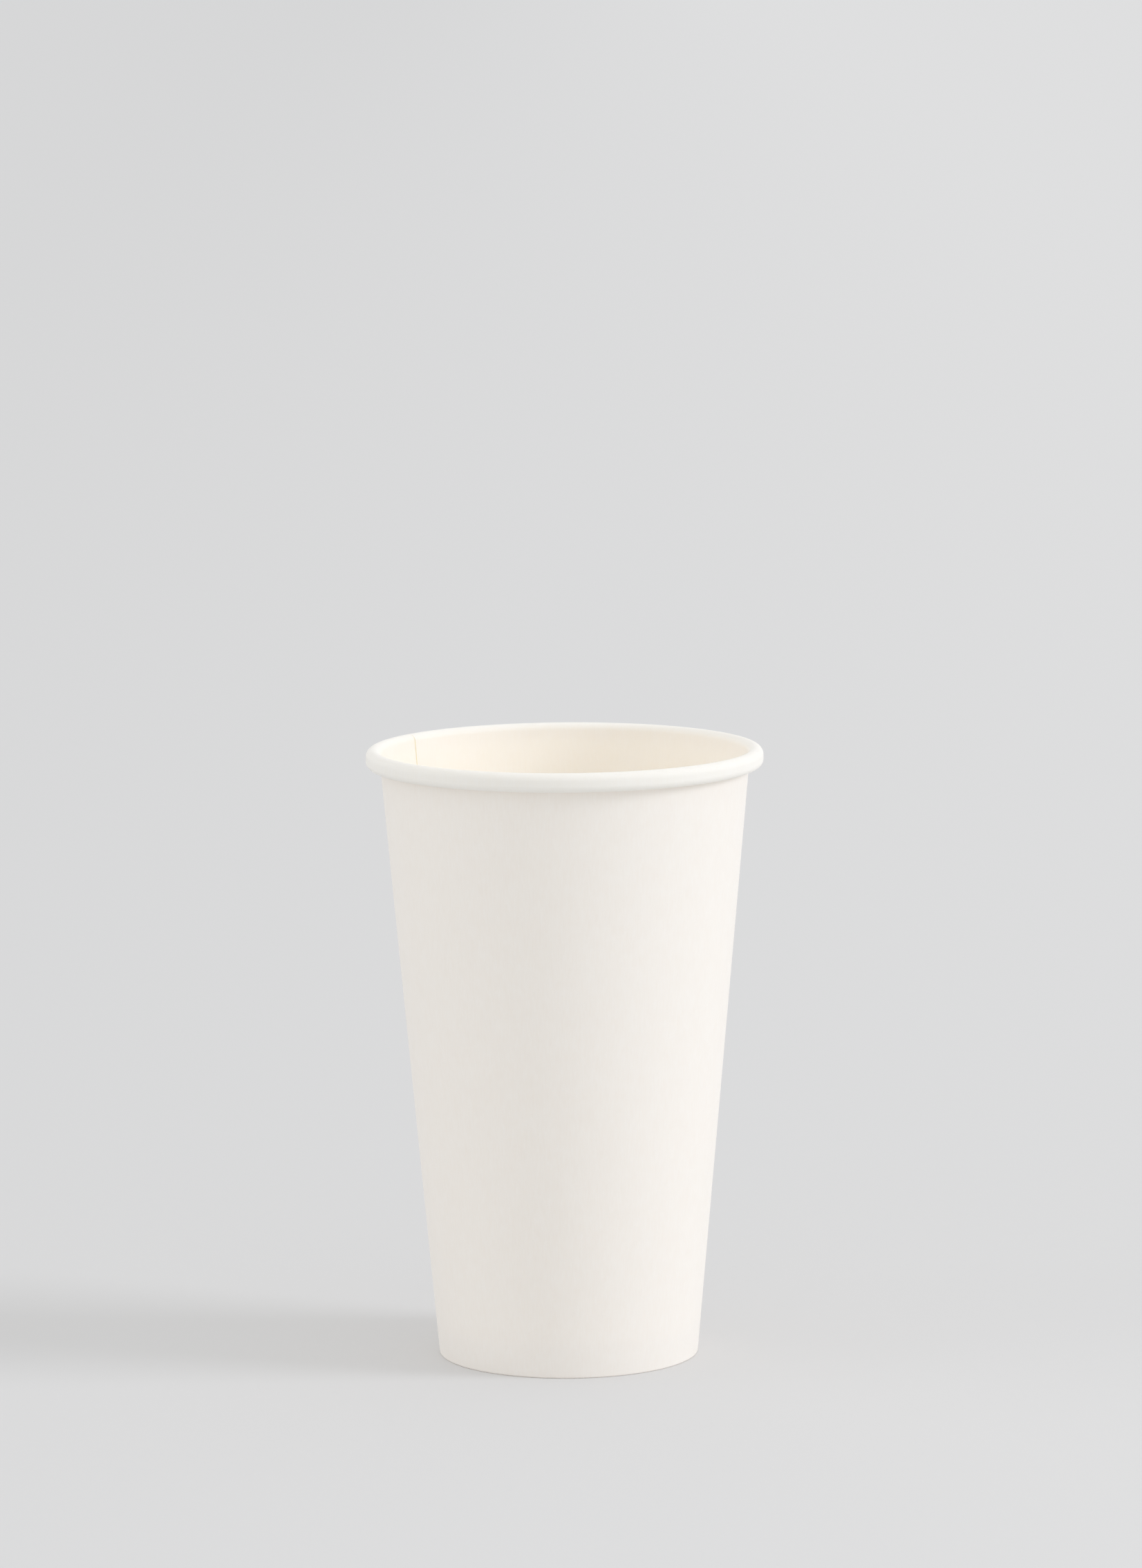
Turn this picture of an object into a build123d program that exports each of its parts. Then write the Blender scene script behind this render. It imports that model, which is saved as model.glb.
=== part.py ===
"""A single-wall paper hot cup: a lapped sidewall blank, rolled at the rim and folded at the foot,
closed by a bottom disc whose skirt is gripped in the fold."""

import os
from math import asin, atan2, cos, degrees, hypot, sin, tan

from build123d import *

# Driving sizes in millimetres
rim_diameter = 90.0
base_diameter = 59.0
cup_height = 139.5
board = 0.4
bottom_board = 0.3

# The rim is rolled outward, over and under, and its free edge tucks up beside the wall
curl_width = 3.45
curl_height = 4.3
tuck_gap = 0.05
tuck_turn = 150

# The disc sits above the foot, and the wall's lower edge is folded up around its skirt
bottom_recess = 8.5
bottom_crease = 0.6
skirt_lift = 0.3
hem_clear = 2.0
fold_crease = 0.35
seal_gap = 0.03

# The side seam: azimuth of its raw inner edge, width of the lap and the thickness left by pressing it
seam_azimuth = 145.8
lap_width = 7.0
lap_press = 0.9

# The roll is drawn in flats of about this many degrees, which part from a round one by less than half a board
roll_flat = 45

# At the lap the two layers lie one pressed board apart, half of it to each side of the mean wall
layer_shift = board * lap_press / 2
skirt_slot = bottom_board + 2 * (layer_shift + seal_gap)

# The wall's middle line leans from the foot to where the rim's roll starts
rim_radius = rim_diameter / 2
roll_radius = (curl_width - board) / 2
roll_x = rim_radius - board / 2 - roll_radius
roll_z = cup_height - board / 2 - roll_radius
foot_x = base_diameter / 2 - board / 2
lean = atan2(roll_x - foot_x, roll_z) - asin(roll_radius / hypot(roll_x - foot_x, roll_z))
roll_start = (roll_x - roll_radius * cos(lean), roll_z + roll_radius * sin(lean))


def wall_x(height, inset=0.0):
    """Radius of the wall's middle line at a height, or of a parallel line further in."""
    return foot_x + height * tan(lean) - inset / cos(lean)


def flats(arc, turn):
    """Points that divide an arc into the roll's flats, its start left out."""
    count = max(1, round(turn / roll_flat))
    return [arc @ ((i + 1) / count) for i in range(count)]


# The under side of the roll is tighter, by the wall that it closes against
under_z = cup_height - curl_height + board / 2 + roll_radius
under_radius = (rim_radius - board - wall_x(under_z) - board / 2 - tuck_gap) / 2
outer_drop = curl_height - board - roll_radius - under_radius
rise_turn = 90 - degrees(lean)
rise = JernArc(roll_start, (sin(lean), cos(lean)), roll_radius, -rise_turn)
fall = JernArc(rise @ 1, (1, 0), roll_radius, -90)
under = JernArc(fall @ 1 - (0, outer_drop), (0, -1), under_radius, -tuck_turn)

fold_z = board / 2
crease_z = fold_z + fold_crease
hem_inset = board + skirt_slot
hem_height = bottom_recess - hem_clear

# Section through the sidewall blank: local X is the radius, local Y the height
with BuildSketch() as wall_section:
    with BuildLine():
        Polyline(
            (wall_x(hem_height, hem_inset), hem_height),
            (wall_x(crease_z, hem_inset), crease_z),
            (wall_x(fold_z, hem_inset) + fold_crease, fold_z),
            (wall_x(fold_z) - fold_crease, fold_z),
            (wall_x(crease_z), crease_z),
            roll_start,
            *flats(rise, rise_turn),
            *flats(fall, 90),
            under @ 0,
            *flats(under, tuck_turn),
        )
    trace(line_width=board)

# The blank is wound as two half turns whose axes differ, so that one end passes outside the other
seam = Vector(1, 0, 0).rotate(Axis.Z, seam_azimuth)
seam_normal = seam.cross(Vector(0, 0, 1))
lap_angle = degrees(lap_width / wall_x(under_z))
inner_axis = Axis(seam * (-layer_shift / 2), (0, 0, -1))
outer_axis = Axis(seam * (layer_shift / 2), (0, 0, 1))

with BuildPart() as sidewall:
    for shift, axis, turn in (
        (-layer_shift, inner_axis, 180),
        (layer_shift, outer_axis, 180),
        (layer_shift, inner_axis, lap_angle),
    ):
        with BuildSketch(Plane(seam * shift, seam, seam_normal)):
            add(wall_section.sketch)
        revolve(axis=axis, revolution_arc=turn)

# The disc's floor turns down into a skirt that runs parallel to the wall, midway in the fold
floor_z = bottom_recess + bottom_board / 2
skirt_end_z = board + skirt_lift
skirt_inset = hem_inset / 2

with BuildPart() as bottom_disc:
    with BuildSketch(Plane.XZ):
        with BuildLine():
            Polyline(
                (0, floor_z),
                (wall_x(floor_z, skirt_inset) - bottom_crease, floor_z),
                (wall_x(floor_z - bottom_crease, skirt_inset), floor_z - bottom_crease),
                (wall_x(skirt_end_z, skirt_inset), skirt_end_z),
            )
        trace(line_width=bottom_board)
    revolve(axis=Axis.Z)

os.makedirs("parts", exist_ok=True)
sidewall.part.label = "sidewall"
export_step(sidewall.part, "parts/sidewall.step")
bottom_disc.part.label = "bottom_disc"
export_step(bottom_disc.part, "parts/bottom_disc.step")
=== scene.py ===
"""Looks for the paper hot cup: a wound sidewall blank and a bottom blank, both of lined cup board."""

from math import asin, atan2, ceil, cos, degrees, hypot, pi, radians, sin, tan

import bmesh
import bpy
from mathutils import Matrix, Vector


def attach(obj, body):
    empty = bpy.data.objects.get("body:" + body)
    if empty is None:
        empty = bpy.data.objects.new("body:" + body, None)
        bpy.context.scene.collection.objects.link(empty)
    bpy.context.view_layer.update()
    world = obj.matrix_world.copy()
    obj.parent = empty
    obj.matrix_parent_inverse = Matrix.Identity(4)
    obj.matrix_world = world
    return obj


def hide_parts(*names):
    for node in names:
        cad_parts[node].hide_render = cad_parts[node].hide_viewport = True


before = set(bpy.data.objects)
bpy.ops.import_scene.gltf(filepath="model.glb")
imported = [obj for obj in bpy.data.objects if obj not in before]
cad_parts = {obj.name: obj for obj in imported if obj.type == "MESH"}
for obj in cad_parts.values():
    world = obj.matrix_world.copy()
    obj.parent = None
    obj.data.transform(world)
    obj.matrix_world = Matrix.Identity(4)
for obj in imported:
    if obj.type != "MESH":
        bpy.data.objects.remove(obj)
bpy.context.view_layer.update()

# Sizes of the cup in millimetres, as in its solids, with a rounded fold at the foot
MM = 0.001
rim_diameter = 90.0
base_diameter = 59.0
cup_height = 139.5
board = 0.4
bottom_board = 0.3
curl_width = 3.45
curl_height = 4.3
tuck_gap = 0.05
tuck_turn = 150
bottom_recess = 8.5
bottom_crease = 0.6
skirt_lift = 0.3
hem_clear = 2.0
fold_radius = 0.22
seal_gap = 0.03
seam_azimuth = 145.8
lap_width = 7.0
lap_press = 0.9

# Fineness of the meshes: degrees per step of a section's arcs, steps of the winding, rows of straight runs,
# the radius of the disc's middle, and the angle from which an edge is shown sharp
arc_step = 8
lap_steps = 6
round_steps = 234
hem_rows = 6
wall_rows = 18
disc_rows = 12
disc_hub = 1.5
sharp_angle = 40

# The clamp squeezes the lap's two cut edges over a few degrees
edge_squeeze = 0.16
edge_turn = 2.5

# Near the lap's ends the roll irons out most of the step between the layers
roll_share = 0.3
roll_fade_rows = 14
roll_iron_turn = 40.0

# Heat sealing rolls fine upright ridges into the hem, one ridge to every two steps of the turn
knurl_depth = 0.06
knurl_margin = 1.0

# The wall's middle line leans from the foot to where the rim's roll starts
layer_shift = board * lap_press / 2
skirt_slot = bottom_board + 2 * (layer_shift + seal_gap)
rim_radius = rim_diameter / 2
roll_radius = (curl_width - board) / 2
roll_x = rim_radius - board / 2 - roll_radius
roll_z = cup_height - board / 2 - roll_radius
foot_x = base_diameter / 2 - board / 2
lean = atan2(roll_x - foot_x, roll_z) - asin(roll_radius / hypot(roll_x - foot_x, roll_z))
hem_inset = board + skirt_slot


def wall_x(height, inset=0.0):
    """Radius of the wall's middle line at a height, or of a parallel line further in."""
    return foot_x + height * tan(lean) - inset / cos(lean)


def arc(centre, radius, start, end):
    """Points of a section along an arc, from one angle in degrees to another."""
    steps = max(2, ceil(abs(end - start) / arc_step))
    angles = [radians(start + (end - start) * i / steps) for i in range(steps + 1)]
    return [(centre[0] + radius * cos(a), centre[1] + radius * sin(a)) for a in angles]


def crease(before, corner, after, radius):
    """Points of a rounded fold that replaces the corner between two straight runs."""
    corner = Vector(corner)
    into = (corner - Vector(before)).normalized()
    out = (Vector(after) - corner).normalized()
    turn = abs(into.angle_signed(out))
    side = 1 if into.x * out.y - into.y * out.x > 0 else -1
    start = corner - into * radius * tan(turn / 2)
    centre = start + Vector((-into.y, into.x)) * side * radius
    first = degrees(atan2(start.y - centre.y, start.x - centre.x))
    return arc(centre, radius, first, first + side * degrees(turn))


def run(start, end, rows):
    """Points along a straight run of a section, its two ends left out."""
    return [tuple(Vector(start).lerp(Vector(end), (i + 1) / (rows + 1))) for i in range(rows)]


def skins(section, thickness):
    """The two faces of a board whose middle line is given: to the left of that line and to its right."""
    left, right = [], []
    for i, point in enumerate(section):
        before = Vector(section[max(i - 1, 0)])
        here = Vector(point)
        after = Vector(section[min(i + 1, len(section) - 1)])
        into = (here - before).normalized() if i > 0 else (after - here).normalized()
        out = (after - here).normalized() if i < len(section) - 1 else into
        square = Vector((-into.y - out.y, into.x + out.x)).normalized()
        reach = thickness / 2 / square.dot(Vector((-into.y, into.x)))
        left.append(here + square * reach)
        right.append(here - square * reach)
    return left, right


def hex_colour(code):
    """Linear colour of an sRGB hex value."""
    channels = [int(code[i:i + 2], 16) / 255 for i in (1, 3, 5)]
    return [c / 12.92 if c <= 0.04045 else ((c + 0.055) / 1.055) ** 2.4 for c in channels] + [1.0]


def add(tree, kind, inputs=None, **settings):
    """Adds a node with its settings and with values or links on its inputs."""
    made = tree.nodes.new(kind)
    for name, value in settings.items():
        setattr(made, name, value)
    for socket, value in (inputs or {}).items():
        if isinstance(value, bpy.types.NodeSocket):
            tree.links.new(value, made.inputs[socket])
        else:
            made.inputs[socket].default_value = value
    return made


# What every side of the board shares. Cellulose and polyethylene both refract by about 1.5, and light spreads
# in the board for about its own thickness. Real fibres are some 0.03 mm wide and the tooth some 0.1 mm, too
# fine to show in the render, so both are drawn several times too coarse. A fibre is twelve times as long as
# it is wide, and the clouds of pulp show half as much. Noise keeps near its middle, which is spread out.
board_ior = 1.5
scatter_depth = 0.35
even_scatter = (1.0, 1.0, 1.0)
fibre_aspect = 12
cloud_share = 0.35
pulp_low, pulp_high = 0.35, 0.65
cloud_low, cloud_high = 0.3, 0.7


def board_finish(name, pale, dark, floc, fibre, tooth, tooth_depth, roughness, spread, see_through):
    """Cup board seen from one of its sides: clouds of pulp, upright fibres and the tooth of its surface.
    Sizes are in millimetres: of a cloud, of a fibre's width, and of the tooth's grain and depth."""
    finish = bpy.data.materials.new(name)
    finish.use_nodes = True
    tree = finish.node_tree
    tree.nodes.clear()
    place = add(tree, "ShaderNodeTexCoord").outputs["Object"]
    cloud = add(tree, "ShaderNodeTexNoise", {
        "Vector": place, "Scale": 1 / (floc * MM), "Detail": 3.0, "Roughness": 0.55})
    across = 1 / (fibre * MM)
    upright = add(tree, "ShaderNodeMapping", {
        "Vector": place, "Scale": (across, across, across / fibre_aspect)})
    strands = add(tree, "ShaderNodeTexNoise", {
        "Vector": upright.outputs["Vector"], "Scale": 1.0, "Detail": 2.0, "Roughness": 0.6})
    pulp = add(tree, "ShaderNodeMix", {
        "Factor": cloud_share, "A": strands.outputs["Fac"], "B": cloud.outputs["Fac"]})
    shade = add(tree, "ShaderNodeMapRange", {
        "Value": pulp.outputs["Result"], "From Min": pulp_low, "From Max": pulp_high})
    colour = add(tree, "ShaderNodeMix", {
        "Factor": shade.outputs["Result"], "A": hex_colour(dark), "B": hex_colour(pale)}, data_type="RGBA")
    gloss = add(tree, "ShaderNodeMapRange", {
        "Value": cloud.outputs["Fac"], "From Min": cloud_low, "From Max": cloud_high,
        "To Min": roughness - spread, "To Max": roughness + spread})
    grit = add(tree, "ShaderNodeTexNoise", {
        "Vector": place, "Scale": 1 / (tooth * MM), "Detail": 2.0, "Roughness": 0.5})
    relief = add(tree, "ShaderNodeMath", {
        0: grit.outputs["Fac"], 1: strands.outputs["Fac"]}, operation="ADD")
    bump = add(tree, "ShaderNodeBump", {
        "Height": relief.outputs["Value"], "Strength": 1.0, "Distance": tooth_depth * MM})
    shader = add(tree, "ShaderNodeBsdfPrincipled", {
        "Base Color": colour.outputs["Result"], "Roughness": gloss.outputs["Result"],
        "Normal": bump.outputs["Normal"], "IOR": board_ior,
        "Subsurface Weight": see_through, "Subsurface Radius": even_scatter,
        "Subsurface Scale": scatter_depth * MM})
    add(tree, "ShaderNodeOutputMaterial", {"Surface": shader.outputs["BSDF"]})
    return finish


# Bleached cup board, uncoated and calendered: a soft matt white, faintly clouded, with upright fibres.
outer_board = board_finish(
    "bleached_cup_board", "#FAF5EF", "#F8F2EB", floc=4.0, fibre=0.35, tooth=0.3, tooth_depth=0.006,
    roughness=0.62, spread=0.05, see_through=0.25)

# The same board with a thin film of polyethylene run onto it hot: paler, with less tooth and a soft sheen.
lined_board = board_finish(
    "polyethylene_lined_cup_board", "#FCF8F1", "#FBF6EE", floc=4.0, fibre=0.35, tooth=0.6, tooth_depth=0.003,
    roughness=0.66, spread=0.04, see_through=0.5)

# The die-cut edge of the board: bare cream pulp, rough and a little fluffy.
cut_board = board_finish(
    "die_cut_board_edge", "#FFF7E3", "#FCF0D6", floc=0.8, fibre=0.12, tooth=0.15, tooth_depth=0.03,
    roughness=0.8, spread=0.05, see_through=0.5)

# The finishes of a piece, in the order of their numbers
LINED, PLAIN, CUT = 0, 1, 2
board_finishes = (lined_board, outer_board, cut_board)


def board_piece(name, points, faces, node):
    """A closed piece of board in place of a node of the cup. Each face has the number of its finish."""
    mesh = bpy.data.meshes.new(name)
    mesh.from_pydata([Vector(p) * MM for p in points], [], [corners for corners, finish in faces])
    mesh.polygons.foreach_set("material_index", [finish for corners, finish in faces])
    mesh.polygons.foreach_set("use_smooth", [True] * len(faces))
    for finish in board_finishes:
        mesh.materials.append(finish)
    shape = bmesh.new()
    shape.from_mesh(mesh)
    bmesh.ops.recalc_face_normals(shape, faces=shape.faces)
    shape.to_mesh(mesh)
    shape.free()
    mesh.set_sharp_from_angle(angle=radians(sharp_angle))
    piece = bpy.data.objects.new(name, mesh)
    bpy.context.scene.collection.objects.link(piece)
    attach(piece, "root")
    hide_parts(node)


# The sidewall's section runs from the hem's free edge, round the foot and up the wall, into the roll
hem_height = bottom_recess - hem_clear
foot_z = board / 2
hem_top = (wall_x(hem_height, hem_inset), hem_height)
hem_foot = (wall_x(foot_z, hem_inset), foot_z)
wall_foot = (wall_x(foot_z), foot_z)
knurl_top = (wall_x(hem_height - knurl_margin, hem_inset), hem_height - knurl_margin)
knurl_foot = (wall_x(knurl_margin, hem_inset), knurl_margin)
roll_start = (roll_x - roll_radius * cos(lean), roll_z + roll_radius * sin(lean))
under_z = cup_height - curl_height + board / 2 + roll_radius
under_radius = (rim_radius - board - wall_x(under_z) - board / 2 - tuck_gap) / 2
under_centre = (rim_radius - board / 2 - under_radius, cup_height - curl_height + board / 2 + under_radius)

section = [hem_top, knurl_top]
knurled = range(len(section), len(section) + hem_rows)
section += run(knurl_top, knurl_foot, hem_rows) + [knurl_foot]
section += crease(hem_top, hem_foot, wall_foot, fold_radius)
section += crease(hem_foot, wall_foot, roll_start, fold_radius)
section += run(section[-1], roll_start, wall_rows)
top_of_wall = len(section)
section += arc((roll_x, roll_z), roll_radius, 180 - degrees(lean), 0)
section += arc(under_centre, under_radius, 0, -tuck_turn)
rows = len(section)
lined_face, plain_face = skins(section, board)

# The blank's two ends lap. Winding clockwise, it drifts outward by a pressed board in each turn
lap_turn = degrees(lap_width / wall_x(under_z))
turns = [lap_turn * i / lap_steps for i in range(lap_steps)]
turns += [lap_turn + (360 - lap_turn) * i / round_steps for i in range(round_steps)]
turns += [360 + turn for turn in turns[:lap_steps + 1]]
full = lap_steps + round_steps


def drift(turn):
    """How far out the blank's middle lies at a turn of its winding, in degrees."""
    return layer_shift * (turn / 180 - 1)


def wound(profile, turn, out, ridge=0.0):
    """The points of one face of the blank at a turn, moved out, with the hem's ridge pressed in."""
    angle = radians(seam_azimuth - turn)
    from_end = min(turn, turns[-1] - turn)
    ironed = roll_share + (1 - roll_share) * min(1.0, from_end / roll_iron_turn)
    ring = []
    for row, (x, z) in enumerate(profile):
        past_wall = max(0, row - top_of_wall) / roll_fade_rows
        share = max(ironed, 1 - past_wall)
        radius = x + out * share - (ridge if row in knurled else 0.0)
        ring.append((radius * cos(angle), radius * sin(angle), z))
    return ring


points = []
for i in range(full + 1):
    squeeze = edge_squeeze * max(0.0, 1 - turns[i] / edge_turn)
    points += wound(lined_face, turns[i], drift(turns[i]) + squeeze)
for i in range(lap_steps, lap_steps + full + 1):
    squeeze = edge_squeeze * max(0.0, 1 - (turns[-1] - turns[i]) / edge_turn)
    points += wound(plain_face, turns[i], drift(turns[i]) - squeeze, knurl_depth * (i % 2))

# Both faces go once round, the outer one starting a lap later. Each bridges its own ends across a raw edge
lined_ring = [i * rows for i in range(full + 1)]
plain_ring = [(full + 1 + i) * rows for i in range(full + 1)]
faces = []
for i in range(full):
    for k in range(rows - 1):
        for ring, finish in ((lined_ring, LINED), (plain_ring, PLAIN)):
            a, b = ring[i] + k, ring[i + 1] + k
            faces.append(((a, b, b + 1, a + 1), finish))
for ring in (lined_ring, plain_ring):
    for k in range(rows - 1):
        a, b = ring[full] + k, ring[0] + k
        faces.append(((a, b, b + 1, a + 1), CUT))

# The hem's free edge and the roll's join the two faces, with a small triangle at each end of the lap
for k in (0, rows - 1):
    for i in range(full):
        a, b = lined_ring[i] + k, lined_ring[i + 1] + k
        facing = (i - lap_steps) % full
        faces.append(((a, b, plain_ring[facing + 1] + k, plain_ring[facing] + k), CUT))
    faces.append(((lined_ring[lap_steps] + k, plain_ring[0] + k, plain_ring[full] + k), CUT))
    faces.append(((plain_ring[full - lap_steps] + k, lined_ring[0] + k, lined_ring[full] + k), CUT))
board_piece("sidewall_blank", points, faces, "sidewall")

# The bottom blank is a disc whose edge turns down into a skirt, held in the foot's fold
floor_z = bottom_recess + bottom_board / 2
skirt_inset = hem_inset / 2
skirt_end_z = board + skirt_lift
disc_corner = (wall_x(floor_z, skirt_inset), floor_z)
skirt_end = (wall_x(skirt_end_z, skirt_inset), skirt_end_z)
disc_start = (disc_hub, floor_z)
disc_section = [disc_start] + run(disc_start, (disc_corner[0] - bottom_crease, floor_z), disc_rows)
disc_section += crease(disc_start, disc_corner, skirt_end, bottom_crease) + [skirt_end]
disc_top, disc_under = skins(disc_section, bottom_board)
disc_profile = disc_top + disc_under[::-1]
disc_bands = len(disc_section) - 1
band_finishes = [LINED] * disc_bands + [CUT] + [PLAIN] * disc_bands
ring_size = len(disc_profile)
points = []
for i in range(full):
    angle = 2 * pi * i / full
    points += [(x * cos(angle), x * sin(angle), z) for x, z in disc_profile]
top_middle, under_middle = len(points), len(points) + 1
points += [(0, 0, disc_top[0].y), (0, 0, disc_under[0].y)]
faces = []
for i in range(full):
    a, b = i * ring_size, (i + 1) % full * ring_size
    for k, finish in enumerate(band_finishes):
        faces.append(((a + k, b + k, b + k + 1, a + k + 1), finish))
    faces.append(((a, top_middle, b), LINED))
    faces.append(((a + ring_size - 1, b + ring_size - 1, under_middle), PLAIN))
board_piece("bottom_blank", points, faces, "bottom_disc")

# Matt paper sweep: a plain pale grey that takes the cup's long soft shadow. Painted light on it: a shade
# lighter to the right, towards the key, and a shade lighter again in front of the cup, where light from its
# lit side falls. Places on it are in metres
far_left, far_right = "#D8D8D8", "#E0E0E0"
near_left, near_right = "#D9D9D9", "#E4E4E4"
left_x, right_x = -0.5, 0.5
far_y, near_y = 0.08, -0.06
sweep_reach = 40.0

sweep = bpy.data.materials.new("matt_paper_sweep")
sweep.use_nodes = True
sweep_tree = sweep.node_tree
sweep_tree.nodes.clear()
sweep_place = add(sweep_tree, "ShaderNodeTexCoord").outputs["Object"]
sweep_axes = add(sweep_tree, "ShaderNodeSeparateXYZ", {"Vector": sweep_place})
# Painted light: the sweep grows lighter towards the right, where the key stands
rightward = add(sweep_tree, "ShaderNodeMapRange", {
    "Value": sweep_axes.outputs["X"], "From Min": left_x, "From Max": right_x},
    interpolation_type="SMOOTHSTEP")
# Painted light: the sweep grows lighter again in front of the cup
forward = add(sweep_tree, "ShaderNodeMapRange", {
    "Value": sweep_axes.outputs["Y"], "From Min": far_y, "From Max": near_y},
    interpolation_type="SMOOTHSTEP")
far_painted_light = add(sweep_tree, "ShaderNodeMix", {
    "Factor": rightward.outputs["Result"], "A": hex_colour(far_left), "B": hex_colour(far_right)},
    data_type="RGBA")
near_painted_light = add(sweep_tree, "ShaderNodeMix", {
    "Factor": rightward.outputs["Result"], "A": hex_colour(near_left), "B": hex_colour(near_right)},
    data_type="RGBA")
tone = add(sweep_tree, "ShaderNodeMix", {
    "Factor": forward.outputs["Result"], "A": far_painted_light.outputs["Result"], "B": near_painted_light.outputs["Result"]},
    data_type="RGBA")
sweep_shader = add(sweep_tree, "ShaderNodeBsdfPrincipled", {
    "Base Color": tone.outputs["Result"], "Roughness": 0.9, "Specular IOR Level": 0.0})
add(sweep_tree, "ShaderNodeOutputMaterial", {"Surface": sweep_shader.outputs["BSDF"]})

floor_corners = [(x * sweep_reach, y * sweep_reach, 0) for x, y in ((-1, -1), (1, -1), (1, 1), (-1, 1))]
floor_mesh = bpy.data.meshes.new("floor")
floor_mesh.from_pydata(floor_corners, [], [(0, 1, 2, 3)])
floor_mesh.materials.append(sweep)
floor = bpy.data.objects.new("floor", floor_mesh)
bpy.context.scene.collection.objects.link(floor)

# An even, pale studio surround
surround_level = 0.84
world = bpy.data.worlds.new("studio")
world.use_nodes = True
bpy.context.scene.world = world
surround = world.node_tree.nodes["Background"]
surround.inputs["Color"].default_value = (1.0, 1.0, 1.0, 1.0)
surround.inputs["Strength"].default_value = surround_level


def soft_lamp(name, colour, energy, spread, elevation, azimuth):
    """A broad distant lamp. Its azimuth is in degrees from the right, towards the back."""
    lamp = bpy.data.lights.new(name, "SUN")
    lamp.color = hex_colour(colour)[:3]
    lamp.energy = energy
    lamp.angle = radians(spread)
    placed = bpy.data.objects.new(name, lamp)
    height = radians(elevation)
    aim = Matrix.Rotation(radians(azimuth), 3, "Z") @ Vector((cos(height), 0, sin(height)))
    placed.rotation_euler = aim.to_track_quat("Z", "Y").to_euler()
    bpy.context.scene.collection.objects.link(placed)


# One key of cool daylight low on the right and a little to the front, and a weak white fill from the left
soft_lamp("key", "#F7F9FF", energy=0.95, spread=22, elevation=25, azimuth=-11)
soft_lamp("fill", "#FFFFFF", energy=0.27, spread=60, elevation=20, azimuth=182)

# A long lens in front of the cup, well above its rim and looking a little down on it
camera_place = Vector((0.001314, -1.54765, 0.34769))
camera_pitch = radians(7.9687)
camera_roll = radians(-0.4037)
lens_mm = 158.246
film_mm = 36.0
farthest_seen = 200.0
camera = bpy.data.objects.new("camera", bpy.data.cameras.new("camera"))
camera.data.sensor_width = film_mm
camera.data.lens = lens_mm
camera.data.clip_end = farthest_seen
camera.matrix_world = (
    Matrix.Translation(camera_place)
    @ Matrix.Rotation(pi / 2 - camera_pitch, 4, "X")
    @ Matrix.Rotation(camera_roll, 4, "Z"))
bpy.context.scene.collection.objects.link(camera)
bpy.context.scene.camera = camera
bpy.context.scene.view_settings.view_transform = "Standard"

# Light bounces many times between the white walls of so deep a cup
light_bounces = 48
bpy.context.scene.cycles.max_bounces = light_bounces
bpy.context.scene.cycles.diffuse_bounces = light_bounces

bpy.context.view_layer.update()
